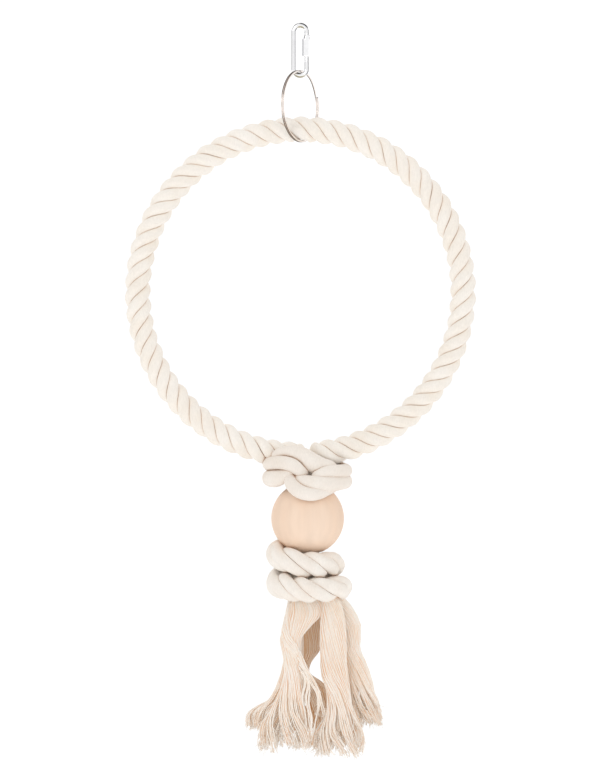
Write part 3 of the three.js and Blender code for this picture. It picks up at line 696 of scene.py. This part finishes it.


# Tassel: loosened strands, each of many yarns. A tail has the turns that its yarns twist and its rows,
# [drop, x, y, half x, half y]. The first row is inside the knot.

TAILS = {
    "left_front": dict(twist=0.55, rows=[
        [-5, -2, -6, 5, 3.6], [0, -1.6, -7.6, 9.6, 4.8], [9, -1.3, -8.6, 11.9, 5.8],
        [17, -6, -9.4, 10.4, 6], [27, -11.8, -9.4, 8, 5.8], [40, -11, -9.4, 6.8, 5.8],
        [56, -10.4, -9.4, 7.4, 6], [76, -13.4, -10, 12.4, 6.4], [92, -17.6, -10, 17.4, 6],
        [109, -19, -10, 18, 6]]),
    "left_side": dict(twist=0.45, rows=[
        [-5, -7, 2, 4, 3.6], [0, -8, 2.4, 5.4, 4.4], [17, -9.8, 4.4, 7.2, 6.4],
        [43, -10, 4.6, 7.2, 6.6], [58, -13.2, 4.6, 8.4, 6.8], [67, -17, 4.6, 8.6, 6.8],
        [72.7, -21, 4.6, 9.4, 6.8], [77, -27, 4.6, 10.6, 6.6], [83, -32, 4.6, 11.2, 6.2],
        [95, -32.6, 4.6, 10.4, 5.6]]),
    "centre_front": dict(twist=0.6, rows=[
        [-5, 11, -6.4, 6, 4], [0, 15.8, -7.8, 7, 5.4], [9, 17.6, -8.8, 8.4, 5.8],
        [25, 18.1, -9.4, 9.8, 6], [52, 18.8, -9.4, 10, 6], [66, 22, -9.8, 9.2, 6.2],
        [80, 23, -10, 10.4, 6.4], [96, 19.6, -10, 16.5, 6], [113, 19, -10, 18, 6]]),
    "right_side": dict(twist=0.5, rows=[
        [-3, 18, 3, 5, 4.6], [2, 23, 4, 6, 5.6], [17, 30.4, 4.4, 7.4, 6.4], [36, 31.4, 4.6, 6.6, 6.6],
        [43, 33.6, 4.6, 7.6, 6.6], [69, 40, 4.6, 10, 7], [92, 46, 4.6, 10.4, 6]]),
    "back_left": dict(twist=0.45, rows=[
        [-5, 1, 7, 4, 3.4], [0, 1.4, 9.4, 5.4, 4], [9, 3.4, 13.6, 8, 4.8], [17, 2.6, 17.6, 9, 5.4],
        [37, 1, 18, 8.4, 5.6], [48, -4, 18, 6.2, 5.6], [55, -4, 18, 6.4, 5.6], [61, 1, 18.4, 10.4, 5.8],
        [76, 4, 19, 12, 6], [99, 1, 19.4, 14, 5.6]]),
    "back_right": dict(twist=0.45, rows=[
        [-5, 9, 5, 4, 3.4], [0, 11.4, 7, 4.6, 4], [17, 19.6, 17.6, 8, 5.4], [43, 20.4, 18, 9, 5.6],
        [75, 24.4, 19, 12.6, 6], [107, 25.4, 19.4, 13, 5.6]]),
}
# Loose yarns that leave the left tail and cross the gap: [drop, x, y] below the top of the tails
LOOSE_YARNS = [
    [[36, -6, -15.5], [48, -1, -15.8], [56, 4, -14.4], [64, 8, -13], [72, 9.4, -12], [82, 12, -11]],
    [[40, -7, -15.6], [52, -0.6, -15.6], [62, 2, -14.4], [73, 1, -13.6], [84, 3, -13], [97, 2, -12.4]],
    [[44, -6, -15.4], [56, 1.6, -14.8], [67, 7, -13], [76, 7.6, -12.2], [88, 5, -12], [99, 2.4, -12]],
    [[50, -5, -15.4], [60, -0.6, -15], [70, -1.6, -14], [82, 0, -13], [92, 1.6, -12.6], [101, 0, -12]],
    [[30, -9, -15.4], [44, -4, -16], [54, 2.6, -14.8], [62, 6.4, -13.4], [70, 8.2, -12.4], [79, 7, -12]],
    [[46, -6.4, -15.2], [57, -2, -14.6], [68, -3.4, -14], [80, -2, -13.4], [94, -1, -13]],
]
TAIL_ROWS = 80
CORE_ROWS = slice(4, 66)
CORE_SIDES = 24
YARNS_PER_TAIL = 120
YARN_R = 0.46
YARN_SIDES = 5
YARN_STEPS = 56
FIBRES_PER_YARN = 9
FIBRE_REACH = (1.2, 4.8)
FIBRE_WIDTH = (0.24, 0.09)
FIBRE_STEPS = 6
YARN_SPREAD = 0.95
YARN_END_SCATTER = 0.018
CLUMPS = 15
CLUMP_SPREAD, CLUMP_DRIFT = 0.86, 0.2
CLUMP_ENDS = (0.93, 1.0)
CLUMP_GATHER = 0.36
BANDED_TAIL = "left_front"
BAND_YARNS, BAND_STEPS = 34, 60
BAND_START, BAND_END = 0.05, 0.62
LOOSE_STRANDS = 3
GOLDEN = math.pi * (3 - math.sqrt(5))


def tail_line(tail):
    points = [[BALL_X + x, y, TAIL_TOP_Z - drop, half_x, half_y]
              for drop, x, y, half_x, half_y in tail["rows"]]
    return spline(points, TAIL_ROWS)


def rows_at(line, shares):
    """The line's rows at shares of its length."""
    places = shares * (len(line) - 1)
    return np.stack([np.interp(places, np.arange(len(line)), column) for column in line.T], axis=1)


def sunflower(index, count, power=1.0):
    """A place in the unit circle, one of count that fill it evenly."""
    share = math.sqrt((index + 0.5) / count) ** power
    return share * math.cos(index * GOLDEN), share * math.sin(index * GOLDEN)


class MeshHeap:
    """Many tubes gathered into one mesh."""

    def __init__(self):
        self.vertices, self.faces, self.count = [], [], 0

    def tube(self, rings):
        rows, sides = rings.shape[:2]
        self.vertices.append(rings.reshape(-1, 3))
        self.faces += tube_faces(rows, sides, self.count)
        self.count += rows * sides

    def make(self, name, material):
        return make_object(name, np.concatenate(self.vertices), self.faces, material, None)


def frayed_end(heap, path, rng):
    """The yarn's end opens into fine fibres."""
    along = path[-1] - path[-4]
    along = along / np.linalg.norm(along)
    for _ in range(FIBRES_PER_YARN):
        back = int(rng.integers(2, 9))
        spread = rng.normal(0, 0.32, 3)
        reach = rng.uniform(*FIBRE_REACH)
        bend = rng.normal(0, 0.5, 3)
        steps = np.linspace(0, 1, FIBRE_STEPS)[:, None]
        start = path[-back] + rng.normal(0, YARN_R * 0.4, 3)
        line = start + (along + spread) * reach * steps + bend * reach * 0.5 * steps**2
        heap.tube(tube_rings(line, np.linspace(*FIBRE_WIDTH, FIBRE_STEPS), 3))


def yarns(heap, line, twist, rng):
    """Yarns keep their place in the tail's section while it turns, then part in clumps and stray."""
    clump_angle = rng.uniform(0, FULL_TURN) + np.arange(CLUMPS) * GOLDEN
    clump_share = np.sqrt((np.arange(CLUMPS) + 0.6) / CLUMPS) * CLUMP_SPREAD
    clump_xy = np.stack([clump_share * np.cos(clump_angle), clump_share * np.sin(clump_angle)], axis=1)
    clump_drift = rng.normal(0, CLUMP_DRIFT, (CLUMPS, 2))
    clump_wave = rng.uniform(0, FULL_TURN, (CLUMPS, 2))
    clump_end = rng.uniform(*CLUMP_ENDS, CLUMPS)
    for j in range(YARNS_PER_TAIL):
        home = YARN_SPREAD * np.array(sunflower(j, YARNS_PER_TAIL, 0.7))
        own = int(np.argmin(np.linalg.norm(clump_xy - home, axis=1)))
        last = clump_end[own] - abs(rng.normal(0, YARN_END_SCATTER))
        t = np.linspace(0, last, YARN_STEPS)
        base = rows_at(line, t)
        loose = smoothstep(t, 0.5, 1.0)
        gather = (CLUMP_GATHER * smoothstep(t, 0.45, 0.8))[:, None]
        place = home * (1 - gather) + (clump_xy[own] + clump_drift[own] * loose[:, None]) * gather
        place = place * (1 + 0.2 * loose)[:, None]
        turn = twist * FULL_TURN * t
        x, y = place[:, 0], place[:, 1]
        across = x * np.cos(turn) - y * np.sin(turn)
        depth = x * np.sin(turn) + y * np.cos(turn)
        phase = rng.uniform(0, FULL_TURN, 2)
        clump_crimp, clump_stray = clump_wave[own]
        crimp = 0.1 * np.sin(23 * math.pi * t + phase[0]) + 0.22 * np.sin(7 * math.pi * t + clump_crimp)
        stray = 0.9 * np.sin(6 * math.pi * t + clump_stray) + 0.5 * np.sin(9 * math.pi * t + phase[1])
        stray = loose * stray
        in_depth = 0.6 * crimp + 0.6 * stray * math.cos(phase[0])
        path = np.stack([base[:, 0] + base[:, 3] * across + crimp + stray,
                         base[:, 1] + base[:, 4] * depth + in_depth, base[:, 2]], axis=1)
        radius = YARN_R * (1 - 0.25 * smoothstep(t, 0.6, 1.0))
        heap.tube(tube_rings(path, radius, YARN_SIDES))
        frayed_end(heap, path, rng)


def loose_yarns(heap, rng):
    """A few yarns that have strayed from the left tail across the gap to the centre one."""
    for route in LOOSE_YARNS:
        path = spline([[BALL_X + x, y, TAIL_TOP_Z - drop] for drop, x, y in route], YARN_STEPS)
        for _ in range(LOOSE_STRANDS):
            shift = rng.normal(0, 0.35, 3)
            sway = 0.4 * np.sin(np.linspace(0, rng.uniform(8, 16), YARN_STEPS))[:, None] * [1, 0.4, 0]
            strand = path + shift + sway
            heap.tube(tube_rings(strand, YARN_R, YARN_SIDES))
            frayed_end(heap, strand, rng)


def wrapped_band(heap, line):
    """Yarns that cross the front of their tail together, from the upper left to the lower right."""
    t = np.linspace(BAND_START, BAND_END, BAND_STEPS)
    base = rows_at(line, t)
    turn = math.radians(-205) + math.radians(215) * smoothstep(t, BAND_START, 0.6)
    ends = smoothstep(np.minimum(t - BAND_START, BAND_END - t), 0, 0.04)
    for j in range(BAND_YARNS):
        side, depth = sunflower(j, BAND_YARNS)
        angle = turn + 0.42 * side
        lift = 1.0 + 0.16 * depth
        wave = 0.2 * np.sin(24 * t * math.pi + 3 * side)
        path = np.stack([base[:, 0] + (base[:, 3] * lift) * np.cos(angle) + wave,
                         base[:, 1] + (base[:, 4] * lift) * np.sin(angle),
                         base[:, 2] + 1.6 * side], axis=1)
        centre = base[:, :2]
        path[:, :2] = centre + (path[:, :2] - centre) * (0.55 + 0.45 * ends)[:, None]
        heap.tube(tube_rings(path, YARN_R, YARN_SIDES))


def tail_core(line):
    """The close mass of yarns in a tail, which thins out towards its end."""
    core = line[CORE_ROWS]
    share = 0.84 * (1 - 0.76 * smoothstep(np.linspace(0, 1, len(core)), 0.4, 1.0))
    return upright_rings(core, (core[:, 3] * share)[:, None], (core[:, 4] * share)[:, None],
                         angles_round(CORE_SIDES))


def tassel():
    """Each tail is one mesh."""
    for index, (name, tail) in enumerate(TAILS.items()):
        rng = np.random.default_rng(100 + index)
        line = tail_line(tail)
        heap = MeshHeap()
        heap.tube(tail_core(line))
        yarns(heap, line, tail["twist"], rng)
        if name == BANDED_TAIL:
            wrapped_band(heap, line)
            loose_yarns(heap, rng)
        # The back tails take the copy of the cotton with deeper painted shade
        piece = heap.make(f"tassel_{name}", BACK_TAIL_SHADED_COTTON if name.startswith("back") else TAIL_COTTON)
        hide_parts(f"tail_{name}")
        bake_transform(piece)


# Studio and camera

def studio():
    """A white floor that curves up to a wall, in metres, with even light and soft lamps."""
    floor_z, floor_y, wall_y, curve_r, half_wide, wall_top = -0.66, -12.0, 5.5, 1.5, 13.0, 10.0
    curve_y = wall_y - curve_r
    profile = [(floor_y, floor_z), (curve_y, floor_z)]
    for a in np.linspace(0, math.pi / 2, 16)[1:]:
        profile.append((curve_y + curve_r * math.sin(a), floor_z + curve_r * (1 - math.cos(a))))
    profile.append((wall_y, wall_top))
    vertices = [(x, y, z) for y, z in profile for x in (-half_wide, half_wide)]
    faces = [(2 * i, 2 * i + 1, 2 * i + 3, 2 * i + 2) for i in range(len(profile) - 1)]
    mesh = bpy.data.meshes.new("studio_floor")
    mesh.from_pydata(vertices, [], faces)
    smooth(mesh)
    nodes = Nodes("studio_white", Roughness=0.9, Base_Color=grey(0.93), Emission_Color=grey(1.0),
                  Emission_Strength=0.2)
    mesh.materials.append(nodes.material)
    in_scene("studio_floor", mesh)

    world = bpy.data.worlds.new("studio_world")
    bpy.context.scene.world = world
    world.use_nodes = True
    background = world.node_tree.nodes["Background"]
    background.inputs["Color"].default_value = grey(1.0)
    background.inputs["Strength"].default_value = 0.84

    def area(name, place, aim, size, power):
        light = bpy.data.lights.new(name, "AREA")
        light.shape = "RECTANGLE"
        light.size, light.size_y = size
        light.energy = power
        lamp = in_scene(name, light)
        lamp.location = place
        lamp.rotation_euler = (Vector(aim) - Vector(place)).to_track_quat("-Z", "Y").to_euler()

    area("key_light", (-1.1, -1.6, 0.9), (0, 0, -0.25), (1.2, 1.2), 4.5)
    area("fill_light", (1.5, -1.2, 0.0), (0, 0, -0.3), (1.4, 1.4), 1.6)
    area("top_light", (0.0, 0.2, 1.6), (0, 0, -0.2), (1.6, 1.0), 3)


def dark_cards():
    """Cards round the hardware, which only its reflections show: place, size and tone of each."""
    cards = [
        ((-0.72, -0.25, 0.62), (0.5, 0.5), 48), ((-0.4, 0.24, 0.82), (0.8, 0.6), 40),
        ((-0.66, -0.2, -0.56), (0.4, 0.4), 60), ((-0.3, 0.18, -0.6), (0.5, 0.3), 60),
        ((0.45, 0.3, 0.8), (0.8, 0.6), 46), ((0.9, 0.16, -0.05), (0.14, 1.2), 110),
        ((-0.9, 0.16, -0.05), (0.12, 1.2), 130),
    ]
    for index, (place, (width, height), tone) in enumerate(cards):
        nodes = Nodes(f"studio_card_{index + 1}", Roughness=0.8,
                      Base_Color=linear(tone, tone - 6, tone - 10))
        mesh = bpy.data.meshes.new(f"dark_card_{index + 1}")
        corners = [(x * width / 2, y * height / 2, 0) for x, y in ((-1, -1), (1, -1), (1, 1), (-1, 1))]
        mesh.from_pydata(corners, [], [(0, 1, 2, 3)])
        mesh.materials.append(nodes.material)
        card = in_scene(mesh.name, mesh)
        card.location = place
        card.rotation_euler = Vector(place).to_track_quat("Z", "Y").to_euler()
        card.visible_camera = False
        card.visible_diffuse = False
        card.visible_shadow = False


def camera():
    """A long lens straight in front, at which one pixel of the photograph is PIXEL at the ring."""
    data = bpy.data.cameras.new("camera")
    data.lens = 150
    data.sensor_width = 36
    data.clip_end = 50
    cam = in_scene("camera", data)
    bpy.context.scene.camera = cam
    height = IMAGE_HEIGHT * PIXEL * MM
    distance = data.lens * height / data.sensor_width
    x = (IMAGE_WIDTH / 2 - HANG_PIXEL[0]) * PIXEL * MM
    z = -(IMAGE_HEIGHT / 2 - HANG_PIXEL[1]) * PIXEL * MM
    cam.location = (x, -distance, z)
    cam.rotation_euler = (math.pi / 2, 0, 0)
    bpy.context.scene.view_settings.view_transform = "Standard"


camera()
quick_link()
link_nut()
split_ring()
ring_rope()
upper_knot()
ball()
bundle()
lower_knot()
tassel()
studio()
dark_cards()

core_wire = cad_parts["core_wire"]
core_wire.data.materials.clear()
core_wire.data.materials.append(NICKEL)
